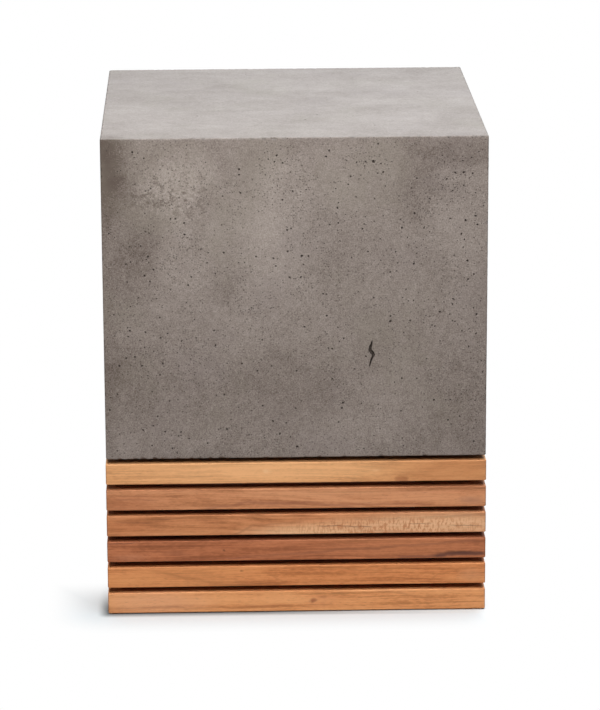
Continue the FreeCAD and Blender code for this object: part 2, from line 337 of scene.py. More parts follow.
def teak(name, spec):
    """Teak whose grain follows the slat's own grain attribute: along, up and deep."""
    g = Graph(name)
    grain = g.add("ShaderNodeAttribute", attribute_name="grain").outputs["Vector"]
    split = g.add("ShaderNodeSeparateXYZ", {0: grain}).outputs
    drift = g.noise(g.scaled(grain, (5, 14, 14), spec["move"]), 1.0, 2, 0.5)
    up = g.plus(split[1], g.ramp(drift, 0.2, 0.8, -0.0035, 0.0035))
    bent = g.add("ShaderNodeCombineXYZ", {0: split[0], 1: up, 2: split[2]}).outputs[0]
    bands = g.noise(g.scaled(bent, (2.2, 150, 150), spec["move"]), 1.0, 4, 0.6, 0.1)
    lines = g.noise(g.scaled(bent, (4, 620, 620), spec["move"]), 1.0, 3, 0.6)
    fibres = g.noise(g.scaled(bent, (12, 1300, 1300), spec["move"]), 1.0, 3, 0.65)
    dashes = g.noise(g.scaled(bent, (170, 560, 560), spec["move"]), 1.0, 3, 0.65)
    cloud = g.noise(g.scaled(grain, (15, 75, 75), spec["move"]), 1.0, 4, 0.6, 0.4)
    growth = g.noise(g.scaled(bent, (2.2, 26, 26), spec["move"]), 1.0, 1, 0.4)
    rings = g.ramp(g.math("SINE", g.times(growth, GROWTH_RINGS)), -1.0, 1.0)
    tone = g.blend((bands, 0.46), (lines, 0.28), (fibres, 0.46), (cloud, 0.36),
                   (dashes, 0.30), (rings, 0.085))
    light, dark = spec["light"], spec["dark"]
    colour = g.mix(g.line(tone, 0.30, 0.50), scaled_colour(dark, 0.62), dark)
    colour = g.mix(g.line(tone, 0.44, 0.66), colour, light)
    uneven = g.warp(grain, 45, (0.024, 0.0060, 0.0))
    for centre, radii, shade, amount in spec["patches"]:
        patch = g.times(g.spot(uneven, centre, radii), g.ramp(lines, 0.3, 0.7, 0.75, 1.0))
        colour = g.mix(g.times(patch, amount), colour, shade)
    if "flecks" in spec:
        fleck = g.noise(g.scaled(grain, (520, 170, 170)), 1.0, 3, 0.6)
        inside = g.spot(uneven, *spec["flecks"])
        colour = g.mix(g.times(g.times(g.ramp(fleck, 0.48, 0.58), inside), 0.80), colour, dark)
    uneven_up = g.add("ShaderNodeSeparateXYZ", {0: uneven}).outputs[1]
    for start, end, height_start, height_end, width, amount in spec["streaks"]:
        run = g.ramp(split[0], start * MM, end * MM, height_start * MM, height_end * MM)
        gap = g.math("ABSOLUTE", g.math("SUBTRACT", uneven_up, run))
        line = g.ramp(gap, width * MM, 0.0)
        inside = g.times(g.ramp(split[0], (start - 4) * MM, (start + 4) * MM),
                         g.ramp(split[0], (end + 4) * MM, (end - 4) * MM))
        line = g.times(g.times(line, inside), g.ramp(fibres, 0.3, 0.6, 0.55, 1.0))
        colour = g.mix(g.times(line, amount), colour, spec["streak"])
    pores = g.noise(g.scaled(bent, (150, 1900, 1900), spec["move"]), 1.0, 2, 0.5)
    pore = g.ramp(pores, 0.62, 0.72)
    colour = g.mix(g.times(pore, 0.40), colour, scaled_colour(dark, 0.40))
    # Painted shade: every face of the slat deeper than its outer arris, in the gaps between rings,
    # is darkened.
    gap_shade = g.ramp(split[2], *GAP_SHADE_DEPTH, 0.0, 0.38)
    colour = g.mix(gap_shade, colour, scaled_colour(dark, 0.25))

    roughness = g.ramp(tone, 0.3, 0.7, 0.62, 0.50)
    height = g.plus(g.times(fibres, 0.5), g.times(pore, -0.7))
    height = g.plus(height, g.times(lines, 0.5))
    return g.surface(colour, roughness, height, 0.00010, Specular_IOR_Level=0.3)


# Slats from the top ring down.  Light, dark and streak are colours, and move shifts the grain.
# Patches: middle and radii (mm along, up, deep), colour, amount.  Flecks: middle and radii (mm).
# Streaks: start and end along, heights there, half width (mm), amount.
TEAK_RINGS = [
    {"light": (0.86, 0.46, 0.21), "dark": (0.71, 0.34, 0.14), "streak": (0.40, 0.15, 0.055),
     "move": (1.3, 0.7, 2.1),
     "patches": [((-30, 2, 0), (210, 15, 30), (0.96, 0.54, 0.26), 0.75),
                 ((150, 0, 0), (95, 40, 30), (0.58, 0.24, 0.095), 0.75),
                 ((-27, 2, 0), (7, 3, 30), (1.0, 0.70, 0.40), 0.40),
                 ((74, 2, 0), (8, 2, 30), (1.0, 0.68, 0.38), 0.30),
                 ((98, -8, 0), (6, 5, 30), (0.35, 0.12, 0.046), 0.75)],
     "streaks": [(-170, -60, -3, -2, 2.4, 0.24), (-150, -70, 3, 2, 2.0, 0.20),
                 (60, 96, -5, -3, 1.8, 0.24), (100, 150, -3, -6, 2.0, 0.28)]},
    {"light": (0.71, 0.33, 0.165), "dark": (0.55, 0.225, 0.10), "streak": (0.26, 0.092, 0.055),
     "move": (8.2, 3.3, 0.4),
     "patches": [((-160, -5, 0), (50, 14, 30), (0.47, 0.17, 0.076), 0.55),
                 ((30, 5, 0), (120, 6, 30), (0.74, 0.37, 0.19), 0.6),
                 ((164, -4, 0), (18, 6, 30), (0.33, 0.16, 0.11), 0.45)],
     "streaks": [(-86, -45, -9, -3.5, 2.6, 0.50), (-45, 10, -3.5, -4.5, 3.0, 0.58),
                 (10, 55, -4.5, -9, 2.4, 0.50), (40, 126, -6, -7, 2.2, 0.34),
                 (-170, -137, 4.5, 4, 1.6, 0.30), (-170, -130, 1, 0, 1.6, 0.30)]},
    {"light": (0.70, 0.31, 0.14), "dark": (0.54, 0.21, 0.085), "streak": (0.25, 0.10, 0.05),
     "move": (4.6, 9.1, 5.5), "flecks": ((90, -3, 0), (150, 14, 30)),
     "patches": [((-170, 0, 0), (50, 16, 30), (0.56, 0.19, 0.073), 0.4),
                 ((10, -9, 0), (84, 13, 30), (0.90, 0.56, 0.32), 0.9),
                 ((130, -2, 0), (150, 16, 30), (0.86, 0.54, 0.32), 0.9)],
     "streaks": [(-170, -137, 4.5, 2.7, 1.6, 0.40), (-62, -34, -9, 0, 2.0, 0.32),
                 (-34, 6, 0, 3, 2.0, 0.32), (21, 70, -2, -3, 0.9, 0.75),
                 (106, 126, -1, -1, 0.7, 0.60), (145, 174, -3.5, -3.5, 0.8, 0.65)]},
    {"light": (0.61, 0.23, 0.105), "dark": (0.44, 0.147, 0.063), "streak": (0.14, 0.055, 0.040),
     "move": (2.9, 5.7, 7.3),
     "patches": [((-158, -5, 0), (26, 4, 30), (0.56, 0.25, 0.14), 0.4),
                 ((-114, -2, 0), (20, 5, 30), (0.24, 0.078, 0.041), 0.5),
                 ((90, 2, 0), (110, 16, 30), (0.62, 0.25, 0.11), 0.45),
                 ((155, -5.5, 0), (34, 3.6, 30), (0.05, 0.02, 0.015), 0.85),
                 ((-69, 1, 0), (2.5, 1.6, 30), (0.100, 0.036, 0.024), 0.8)],
     "streaks": [(-178, -150, 8.6, 9, 0.6, 0.85), (-67, 4, -6.5, -3.5, 2.2, 0.36),
                 (4, 60, -3.5, 1, 2.2, 0.36), (60, 174, 1, 6.5, 2.2, 0.36),
                 (96, 140, -8.5, -7, 2.4, 0.60), (130, 178, -7, -5.5, 3.4, 1.0)]},
    {"light": (0.83, 0.365, 0.145), "dark": (0.68, 0.25, 0.088), "streak": (0.36, 0.125, 0.045),
     "move": (6.1, 1.9, 3.8),
     "patches": [((-110, 0, 0), (110, 24, 30), (0.80, 0.37, 0.15), 0.5),
                 ((-49, 5.5, 0), (2.5, 1.6, 30), (0.25, 0.085, 0.034), 0.7),
                 ((165, -2, 0), (20, 10, 30), (0.62, 0.30, 0.155), 0.5)],
     "streaks": [(-137, -100, 6.5, -1, 2.6, 0.32), (-100, -71, -1, -7.5, 2.6, 0.32),
                 (-32, -10, 4.5, -6.5, 2.4, 0.28), (23, 75, 8, 4.5, 2.2, 0.30),
                 (75, 117, 4.5, 8, 2.2, 0.30), (122, 136, -6.5, 0, 2.0, 0.28),
                 (136, 155, 0, 3, 2.0, 0.28)]},
    {"light": (0.93, 0.455, 0.20), "dark": (0.77, 0.325, 0.125), "streak": (0.34, 0.125, 0.055),
     "move": (9.7, 6.4, 1.2),
     "patches": [((-135, 0, 0), (75, 18, 30), (0.86, 0.45, 0.25), 0.7),
                 ((25, 0, 0), (28, 10, 30), (0.70, 0.30, 0.14), 0.4),
                 ((15, 0, 0), (6.5, 4.2, 30), (0.33, 0.105, 0.05), 0.85),
                 ((25, 4, 0), (9, 2.2, 30), (0.42, 0.15, 0.066), 0.5)],
     "streaks": [(-147, -60, -4.5, -5.5, 2.4, 0.34), (-60, -5, -5.5, -4, 2.4, 0.34),
                 (75, 136, 9, 0, 2.2, 0.28)]},
]


def frame_teak():
    g = Graph("frame_teak")
    place = object_place(g)
    upright = g.noise(g.scaled(place, (500, 500, 12)), 1.0, 3, 0.6)
    level = g.noise(g.scaled(place, (60, 60, 500)), 1.0, 3, 0.6)
    tone = g.plus(g.times(upright, 0.5), g.times(level, 0.5))
    colour = g.mix(g.ramp(tone, 0.35, 0.65), (0.20, 0.088, 0.040), (0.34, 0.165, 0.080))
    return g.surface(colour, g.ramp(tone, 0.3, 0.7, 0.75, 0.6), tone, 0.0002)


def metal(name, colour, roughness):
    g = Graph(name)
    place = object_place(g)
    wear = g.noise(place, 260, 4, 0.6)
    spangle = g.cells(place, 420)[0]
    shade = g.plus(g.times(wear, 0.7), g.times(spangle, 0.3))
    blended = g.mix(g.ramp(shade, 0.25, 0.65), scaled_colour(colour, 0.62), colour)
    return g.surface(blended, g.ramp(wear, 0.3, 0.7, roughness - 0.08, roughness + 0.12),
                     wear, 0.00005, Metallic=1.0)


def moulded(name, colour, roughness):
    g = Graph(name)
    place = object_place(g)
    grain = g.noise(place, 900, 3, 0.6)
    dust = g.noise(place, 40, 4, 0.6)
    paler = tuple(value + 0.05 for value in colour)
    blended = g.mix(g.ramp(dust, 0.45, 0.75), colour, paler)
    return g.surface(blended, g.ramp(dust, 0.3, 0.7, roughness - 0.06, roughness + 0.08),
                     grain, 0.00008)


def paint_inner_pieces():
    """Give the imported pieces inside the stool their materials, by the record's slot."""
    by_slot = {
        "frame_teak": frame_teak(),
        "bedding_rubber": moulded("bedding_rubber", (0.018, 0.018, 0.018), 0.75),
        "glide_nylon": moulded("glide_nylon", (0.030, 0.030, 0.032), 0.50),
        "bracket_steel": metal("zinc_plate", (0.62, 0.62, 0.64), 0.42),
        "fastener_steel": metal("stainless_steel", (0.66, 0.65, 0.64), 0.32),
        "insert_brass": metal("brass", (0.72, 0.52, 0.22), 0.34),
    }
    for part in frame["record"]["subparts"]:
        material = by_slot.get(part["material_slot"])
        if material is not None:
            for slot in bpy.data.objects[part["node"]].material_slots:
                slot.link = "OBJECT"
                slot.material = material


# --------------------------------------------------------------------------------- the block

def lerp(a, b, t):
    return a + (b - a) * t


class Face:
    """One outer face of the block, drawn on flat (u, v) and folded round the arrises."""

    def __init__(self, middle, normal, across, up, half_u, half_v):
        self.middle, self.normal = middle, normal
        self.across, self.up = across, up
        self.half_u, self.half_v = half_u, half_v

    def fold(self, u, v, sunk=0.0):
        """The point in space; the outermost band of the flat sheet wraps 45 degrees."""
        angles, clamped = [], []
        for value, half in ((u, self.half_u), (v, self.half_v)):
            flat = half - BLOCK_ARRIS
            inner = max(-flat, min(flat, value))
            share = (value - inner) / BLOCK_ARRIS
            angles.append(math.tan(math.radians(45) * share))
            clamped.append(inner)
        lean = Vector((angles[0], angles[1], 1.0)).normalized() * BLOCK_ARRIS
        out = lean.z - BLOCK_ARRIS - sunk
        return (self.middle + self.across * (clamped[0] + lean.x)
                + self.up * (clamped[1] + lean.y) + self.normal * out)


def steps(low, high, spacing):
    count = max(2, round((high - low) / spacing))
    return [lerp(low, high, index / count) for index in range(count + 1)]


def arris_lines(half):
    """Positions across a face: the wrapped bands at both ends and nothing between them."""
    flat = half - BLOCK_ARRIS
    band = [flat + BLOCK_ARRIS * step / ARRIS_STEPS for step in range(ARRIS_STEPS + 1)]
    return [-value for value in reversed(band)] + band


def border_points(face):
    """Grid points of the four wrapped bands and their corners, and the guard rows inside them."""
    lines_u, lines_v = arris_lines(face.half_u), arris_lines(face.half_v)
    flat_u, flat_v = face.half_u - BLOCK_ARRIS, face.half_v - BLOCK_ARRIS
    guard_u, guard_v = flat_u - GUARD_INSET, flat_v - GUARD_INSET
    run_u = steps(-flat_u, flat_u, EDGE_SPACING)[1:-1]
    run_v = steps(-flat_v, flat_v, EDGE_SPACING)[1:-1]
    points = [(u, v) for u in lines_u for v in lines_v]
    points += [(u, v) for u in lines_u for v in run_v]
    points += [(u, v) for u in run_u for v in lines_v]
    points += [(u, v) for u in (-guard_u, guard_u) for v in run_v if abs(v) < guard_v]
    points += [(u, v) for u in run_u for v in (-guard_v, guard_v) if abs(u) < guard_u]
    return points


def hole_outline(centre, radius, rng, corners):
    """Uneven round outline, counter-clockwise."""
    turn = rng.uniform(0, math.tau)
    stretch = rng.uniform(0.8, 1.25)
    lean = rng.uniform(0, math.pi)
    outline = []
    for corner in range(corners):
        angle = turn + math.tau * corner / corners
        reach = radius * rng.uniform(0.85, 1.15)
        x, y = reach * math.cos(angle) * stretch, reach * math.sin(angle) / stretch
        outline.append((centre[0] + x * math.cos(lean) - y * math.sin(lean),
                        centre[1] + x * math.sin(lean) + y * math.cos(lean)))
    return outline


def signed_area(outline):
    return sum(x0 * y1 - x1 * y0
               for (x0, y0), (x1, y1) in zip(outline, outline[1:] + outline[:1])) / 2


def shrink(outline, centre, share):
    return [(lerp(centre[0], x, share), lerp(centre[1], y, share)) for x, y in outline]


class Hole:
    """An air hole: its outline on the face, and the rings that lead down to its bottom."""

    def __init__(self, centre, outline, depth):
        self.outline = outline
        down = HOLE_STEPS if len(outline) > SMALL_HOLE_CORNERS else SMALL_HOLE_STEPS
        self.rings = [(shrink(outline, centre, width), share * depth) for width, share in down]
        self.bottom = (centre, depth)


def hole_radius(size):
    """Radius for a size from 0 to 1: the top tenth or so gives a few much larger holes."""
    return MM * (0.28 + 0.30 * size + 0.50 * size ** 9)


def cell_of(u, v):
    return int(u // HOLE_CELL), int(v // HOLE_CELL)


def is_free(taken, u, v, radius):
    """Whether a hole at (u, v) clears those already in the cells around it."""
    base_u, base_v = cell_of(u, v)
    for du in (-1, 0, 1):
        for dv in (-1, 0, 1):
            for other_u, other_v, other_radius in taken.get((base_u + du, base_v + dv), ()):
                reach = HOLE_SPACING * (radius + other_radius) + HOLE_GAP
                if math.hypot(u - other_u, v - other_v) < reach:
                    return False
    return True


def air_holes(face, density, rng, wanted, notable=()):
    """The notable holes and seeded ones clear of them, more where density(u, v) is higher."""
    taken = {}
    holes = []
    for u, v, radius in notable:
        taken.setdefault(cell_of(u, v), []).append((u, v, radius))
        outline = hole_outline((u, v), radius, rng, LARGE_HOLE_CORNERS)
        holes.append(Hole((u, v), outline, 1.5 * radius))
    tries = 0
    while len(holes) < wanted and tries < TRIES_PER_HOLE * wanted:
        tries += 1
        u = rng.uniform(HOLE_MARGIN - face.half_u, face.half_u - HOLE_MARGIN)
        v = rng.uniform(HOLE_MARGIN - face.half_v, face.half_v - HOLE_MARGIN)
        radius = hole_radius(rng.random())
        if rng.random() > density(u, v) or not is_free(taken, u, v, radius):
            continue
        taken.setdefault(cell_of(u, v), []).append((u, v, radius))
        corners = HOLE_CORNERS if radius > SMALL_HOLE_RADIUS else SMALL_HOLE_CORNERS
        outline = hole_outline((u, v), radius, rng, corners)
        holes.append(Hole((u, v), outline, radius * rng.uniform(1.1, 1.7)))
    return holes


class Nicks:
    """Small losses along the block's arrises."""

    def __init__(self, places):
        self.places = places
        self.tree = kdtree.KDTree(len(places))
        for index, (place, _, _) in enumerate(places):
            self.tree.insert(place, index)
        self.tree.balance()

    def depth(self, point):
        loss = 0.0
        for _, index, distance in self.tree.find_range(point, NICK_SEARCH):
            _, reach, depth = self.places[index]
            if distance < reach:
                loss = max(loss, depth * (1 - (distance / reach) ** 2))
        return loss


class BlockMesh:
    """The block's mesh while it is made, with the attribute that paints shade into holes and
    losses.
    """

    def __init__(self):
        self.mesh = bmesh.new()
        self.pit_shade = self.mesh.verts.layers.float.new("pit_shade")

    def vertex(self, point, pit_shade=0.0):
        vertex = self.mesh.verts.new(point)
        vertex[self.pit_shade] = pit_shade
        return vertex

    def ring(self, points, pit_shade=0.0):
        return [self.vertex(point, pit_shade) for point in points]

    def bridge(self, outer, inner):
        count = len(outer)
        for index in range(count):
            after = (index + 1) % count
            self.mesh.faces.new((outer[index], outer[after], inner[after], inner[index]))

    def cap(self, ring, tip):
        for index in range(len(ring)):
            self.mesh.faces.new((ring[index], ring[(index + 1) % len(ring)], tip))

    def sheet(self, points, outlines, place):
        """Triangulate flat points with holes cut out; returns each hole's rim."""
        flat = list(points)
        loops = []
        for outline in outlines:
            if signed_area(outline) < 0:
                raise ValueError("an outline runs clockwise")
            loops.append(list(range(len(flat), len(flat) + len(outline))))
            flat.extend(outline)
        coords = [Vector(point) for point in flat]
        found, _, triangles, origins, _, inside = delaunay_2d_cdt(coords, [], loops, 0, 1e-9)
        back = {}
        for index, sources in enumerate(origins):
            for source in sources:
                back[source] = index
        made = [self.vertex(place(*point)) for point in found]
        for triangle, holders in zip(triangles, inside):
            if not holders:
                self.mesh.faces.new([made[index] for index in triangle])
        return [[made[back[index]] for index in loop] for loop in loops]


def cavity_outline(half, radius, steps_per_corner=8):
    """Rounded square, counter-clockwise seen from above."""
    points = []
    for corner in range(4):
        middle = math.pi / 4 + corner * math.pi / 2
        cx = math.copysign(half - radius, math.cos(middle))
        cy = math.copysign(half - radius, math.sin(middle))
        for step in range(steps_per_corner + 1):
            angle = corner * math.pi / 2 + math.pi / 2 * step / steps_per_corner
            points.append((cx + radius * math.cos(angle), cy + radius * math.sin(angle)))
    return points


def circle(radius, corners):
    angles = [math.tau * corner / corners for corner in range(corners)]
    return [(radius * math.cos(angle), radius * math.sin(angle)) for angle in angles]


def add_pocket_wall(block, outward, half, bottom, shoulder):
    """One flat wall of the hollow, with the stepped pocket that holds an insert."""
    flat_half = half - CAVITY_CORNER
    across = outward.cross(Vector((0, 0, 1)))
    low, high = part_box("bracket_bolts")
    bolt_height = low[2] / 2 + high[2] / 2
    middle = outward * half + Vector((0, 0, bolt_height))

    def on_wall(u, v, depth=0.0):
        return middle + across * u + Vector((0, 0, v)) + outward * depth

    corners = [(u, v) for u in (-flat_half, flat_half)
               for v in (bottom - bolt_height, shoulder - bolt_height)]
    inner, = block.sheet(corners, [circle(POCKET_RADIUS, POCKET_CORNERS)], on_wall)
    for radius, depth in ((POCKET_RADIUS, POCKET_DEPTH - POCKET_COLLAR),
                          (POCKET_COLLAR_RADIUS, POCKET_DEPTH - POCKET_COLLAR),
                          (POCKET_COLLAR_RADIUS, POCKET_DEPTH)):
        ring = block.ring([on_wall(u, v, depth) for u, v in circle(radius, POCKET_CORNERS)])
        block.bridge(inner, ring)
        inner = ring
    block.cap(inner, block.vertex(on_wall(0, 0, POCKET_DEPTH)))


def add_cavity(block, rim, half, bottom, top):
    """Inside of the shell: flat walls, rounded corners between them, and a rounded ceiling."""
    shoulder = top - CAVITY_TOP_RADIUS
    upper = block.ring([Vector((vertex.co.x, vertex.co.y, shoulder)) for vertex in rim])
    for index, low in enumerate(rim):
        after = (index + 1) % len(rim)
        low_after = rim[after]
        if (low.co - low_after.co).length > half - CAVITY_CORNER:
            outward = ((low.co + low_after.co) / 2).xy.to_3d().normalized()
            add_pocket_wall(block, outward, half, bottom, shoulder)
        else:
            block.mesh.faces.new((low_after, low, upper[index], upper[after]))
    previous = upper
    for step in range(1, CAVITY_STEPS + 1):
        angle = math.pi / 2 * step / CAVITY_STEPS
        inset = CAVITY_TOP_RADIUS * (1 - math.cos(angle))
        height = shoulder + CAVITY_TOP_RADIUS * math.sin(angle)
        shape = cavity_outline(half - inset, CAVITY_CORNER - inset)
        ring = block.ring([Vector((x, y, height)) for x, y in reversed(shape)])
        block.bridge(previous, ring)
        previous = ring
    block.mesh.faces.new(previous)


# Where air holes crowd on the front: middle across and up from the face's middle, reach across
# and up, all in millimetres, and how much more likely a hole is there
FRONT_CROWDS = [(-150, -40, 45, 95, 0.55), (-120, 60, 30, 40, 0.35), (155, 95, 30, 60, 0.45),
                (85, -45, 40, 45, 0.35), (130, -20, 60, 120, 0.20), (40, 60, 40, 60, 0.15)]


def front_density(u, v):
    u, v = u / MM, v / MM
    crowd = 0.30
    for cu, cv, ru, rv, more in FRONT_CROWDS:
        crowd += more * math.exp(-((u - cu) / ru) ** 2 - ((v - cv) / rv) ** 2)
    return crowd


def side_density(u, v):
    return 0.35 + 0.3 * math.sin(9 * u + 3) ** 2


def top_density(u, v):
    return 0.5


# Air holes of the front that are listed one by one, in millimetres: across, height above the floor,
# radius
FRONT_HOLES = [
    (72, 434, 1.4), (65, 434, 0.9), (64, 430, 0.7), (79, 432, 0.8), (89, 434, 0.7),
    (81, 424, 1.0), (49, 413, 0.8), (83, 411, 0.7), (39, 391, 1.0), (62, 371, 0.9),
    (52, 344, 0.8), (6, 346, 1.2), (5, 326, 0.9), (157, 378, 1.1), (168, 374, 0.9),
    (156, 360, 0.9), (159, 340, 1.0), (165, 327, 0.9), (155, 423, 1.1), (147, 423, 1.0),
    (154, 434, 0.8), (163, 422, 0.9), (112, 418, 0.8), (-51, 428, 1.1), (-51, 423, 0.9),
    (-50, 406, 0.9), (-2, 407, 1.0), (-66, 403, 0.8), (-132, 411, 0.8), (-66, 350, 0.9),
    (-80, 350, 0.8), (-36, 346, 0.9), (-142, 357, 0.9), (-171, 369, 0.9), (-139, 329, 1.0),
    (-155, 323, 0.8), (-50, 244, 1.0), (-126, 234, 0.9), (-139, 275, 0.9), (-166, 216, 0.8),
    (-31, 203, 0.9), (-133, 185, 0.8), (1, 163, 1.2), (88, 283, 1.2), (88, 288, 0.8),
    (44, 205, 1.1), (43, 200, 1.1), (142, 187, 0.9), (145, 183, 0.8), (165, 295, 0.8),
]

# Losses of the front's top and bottom arrises that are listed one by one, in millimetres: across,
# reach, depth
TOP_NICKS = [(-121, 2.0, 0.9), (-84, 2.2, 1.0), (-28, 2.4, 1.2), (-19, 3.6, 1.9),
             (-10, 2.0, 1.0), (100, 2.0, 0.9), (104, 2.4, 1.1), (141, 2.2, 0.9),
             (166, 2.2, 1.0), (172, 2.4, 1.2)]
BOTTOM_NICKS = [(-165, 1.8, 0.8), (-150, 2.0, 0.9), (-143, 2.4, 1.1), (-132, 2.6, 1.3),
                (-125, 1.8, 0.9), (-110, 1.8, 0.8), (-98, 2.0, 0.9), (-90, 1.8, 0.8),
                (-80, 2.0, 0.9), (-70, 2.4, 1.1), (22, 2.0, 0.9), (80, 2.2, 1.0)]

# The long cast void on the front, in millimetres: across, up from the middle of the face, half
# width along its middle line
LONG_VOID = [(71, -40, 0.3), (70.5, -43, 0.9), (69.5, -46, 1.4), (69, -49, 1.7), (71, -52, 2.0),
             (72.5, -54, 1.5), (71, -57, 1.0), (69.5, -61, 0.8), (68.5, -65, 0.4)]
LONG_VOID_CLEARANCE = 3 * MM
LONG_VOID_STEPS = ((0.8, 1.6), (0.35, 3.4))  # rings down it: share of its width, and depth in mm


def long_void():
    """Outline round the void's middle line, with rings that follow it down."""
    line = [Vector((x, y)) * MM for x, y, _ in LONG_VOID]
    widths = [width * MM for _, _, width in LONG_VOID]

    def band(share):
        left, right = [], []
        for index, (point, width) in enumerate(zip(line, widths)):
            before = line[max(0, index - 1)]
            after = line[min(len(line) - 1, index + 1)]
            side = (after - before).normalized().orthogonal()
            left.append(tuple(point + side * width * share))
            right.append(tuple(point - side * width * share))
        outline = left + right[::-1]
        return outline if signed_area(outline) > 0 else outline[::-1]

    hole = Hole((0, 0), band(1.0), 0.0)
    hole.rings = [(band(share), depth * MM) for share, depth in LONG_VOID_STEPS]
    hole.bottom = None
    return hole


def holes_of(name, face, middle_height, rng):
    """The holes of one upright face or of the top."""
    if name == "top":
        return air_holes(face, top_density, rng, TOP_HOLE_COUNT)
    if name != "front":
        return air_holes(face, side_density, rng, SIDE_HOLE_COUNT)
    notable = [(u * MM, height * MM - middle_height, radius * MM)
               for u, height, radius in FRONT_HOLES]
    holes = air_holes(face, front_density, rng, FRONT_HOLE_COUNT, notable)
    void = [(u * MM, v * MM) for u, v, width in LONG_VOID]
    clear = [hole for hole in holes
             if all(math.dist(hole.bottom[0], spot) > LONG_VOID_CLEARANCE for spot in void)]
    return clear + [long_void()]


def sink_hole(block, face, hole, rim):
    """The walls and the bottom of a hole, down from its rim."""
    ring = rim
    # Every ring down the hole, and its bottom, is marked for full painted shade.
    for outline, depth in hole.rings:
        inner = block.ring([face.fold(u, v, depth) for u, v in outline], 1.0)
        block.bridge(ring, inner)
        ring = inner
    if hole.bottom is None:
        block.mesh.faces.new(ring)
    else:
        centre, depth = hole.bottom
        block.cap(ring, block.vertex(face.fold(*centre, depth), 1.0))


def make_block():
    low, high = (Vector(corner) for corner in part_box("concrete_shell"))
    middle, half = (low + high) / 2, (high - low) / 2
    x, y, z = Vector((1, 0, 0)), Vector((0, 1, 0)), Vector((0, 0, 1))
    faces = {
        "front": Face(middle - y * half.y, -y, x, z, half.x, half.z),
        "right": Face(middle + x * half.x, x, y, z, half.y, half.z),
        "back": Face(middle + y * half.y, y, -x, z, half.x, half.z),
        "left": Face(middle - x * half.x, -x, -y, z, half.y, half.z),
        "top": Face(middle + z * half.z, z, x, y, half.x, half.y),
        "bottom": Face(middle - z * half.z, -z, x, -y, half.x, half.y),
    }
    rng = random.Random(BLOCK_SEED)
    block = BlockMesh()
    for name, face in faces.items():
        if name == "bottom":
            cavity_half = half.x - BLOCK_WALL
            outline = cavity_outline(cavity_half, CAVITY_CORNER)
            rim, = block.sheet(border_points(face), [outline], face.fold)
            add_cavity(block, rim, cavity_half, low.z, high.z - BLOCK_WALL)
            continue
        holes = holes_of(name, face, middle.z, rng)
        rims = block.sheet(border_points(face), [hole.outline for hole in holes], face.fold)
        for hole, rim in zip(holes, rims):
            sink_hole(block, face, hole, rim)
    bmesh.ops.remove_doubles(block.mesh, verts=block.mesh.verts[:], dist=MERGE_DISTANCE)
    loose = [vertex for vertex in block.mesh.verts if not vertex.link_faces]
    bmesh.ops.delete(block.mesh, geom=loose, context="VERTS")
    wear_arrises(block, middle, half)
    finish_block(block)


def wear_arrises(block, middle, half):
    """Nicks at seeded and listed places along the outer arrises, painted shade in them, and a fine
    unevenness all along them.
    """
    rng = random.Random(NICK_SEED)
    places = []
    for axis in range(3):
        others = [index for index in range(3) if index != axis]
        for sign_a in (-1, 1):
            for sign_b in (-1, 1):
                for _ in range(NICKS_PER_ARRIS):
                    place = middle.copy()
                    place[axis] += rng.uniform(-half[axis], half[axis])
                    place[others[0]] += sign_a * half[others[0]]
                    place[others[1]] += sign_b * half[others[1]]
                    size = rng.random() ** 3
                    places.append((place, (1.2 + 1.4 * size) * MM, (0.25 + 0.5 * size) * MM))
    for nicked, height in ((TOP_NICKS, half.z), (BOTTOM_NICKS, -half.z)):
        places += [(middle + Vector((across * MM, -half.y, height)), reach * MM, depth * MM)
                   for across, reach, depth in nicked]
    nicks = Nicks(places)
    core = [size - BLOCK_ARRIS - MERGE_DISTANCE for size in half]
    for vertex in block.mesh.verts:
        offset = vertex.co - middle
        outside = sum(abs(offset[axis]) > core[axis] for axis in range(3))
        if outside < 2:
            continue
        inner = Vector([max(-core[axis], min(core[axis], offset[axis])) for axis in range(3)])
        outward = (offset - inner).normalized()
        loss = nicks.depth(vertex.co)
        # Painted shade in each loss, the deeper the darker.
        vertex[block.pit_shade] = min(1.0, max(vertex[block.pit_shade], loss / FULL_SHADE_LOSS))
        loss += ARRIS_UNEVENNESS * (0.5 + noise.noise(vertex.co * 320))
        vertex.co -= outward * max(0.0, loss)


def add_object(name, mesh_in_work):
    """A scene object from a bmesh, which is used up."""
    data = bpy.data.meshes.new(name)
    mesh_in_work.to_mesh(data)
    mesh_in_work.free()
    piece = bpy.data.objects.new(name, data)
    bpy.context.scene.collection.objects.link(piece)
    return piece


def shade(piece, sharp_angle, weight):
    """Smooth shading that keeps flat faces flat and edges past the angle sharp."""
    piece.data.shade_smooth()
    piece.data.set_sharp_from_angle(angle=sharp_angle)
    weighting = piece.modifiers.new("face_weighted_normals", "WEIGHTED_NORMAL")
    weighting.keep_sharp = True
    weighting.weight = weight


def finish_block(block):
    bmesh.ops.recalc_face_normals(block.mesh, faces=block.mesh.faces[:])
    piece = add_object("concrete_block", block.mesh)
    shade(piece, SHARP_ANGLE, weight=100)
    piece.data.materials.append(concrete())
    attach(piece, "root")
    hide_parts("concrete_shell")


# --------------------------------------------------------------------------------- the slats

def slat_profile(thickness, height, radius, steps_per_corner=4):
    """Rounded rectangle as (depth, up) points, both from the slat's outer bottom edge."""
    corners = [(radius, radius, 180), (thickness - radius, radius, 270),
               (thickness - radius, height - radius, 0), (radius, height - radius, 90)]
    points = []
    for depth, up, start in corners:
        for step in range(steps_per_corner + 1):
            angle = math.radians(start + 90 * step / steps_per_corner)
            points.append((depth + radius * math.cos(angle), up + radius * math.sin(angle)))
    return points


def slat_stations():
    """Shares of the half length: close together at the rounded ends, even between them."""
    ends = [1 - 0.00035 * index ** 2 for index in range(8)]
    between = [1 - 0.05 * index for index in range(1, 20)]
    half = ends + between
    return [-share for share in half] + [0.0] + half[::-1]


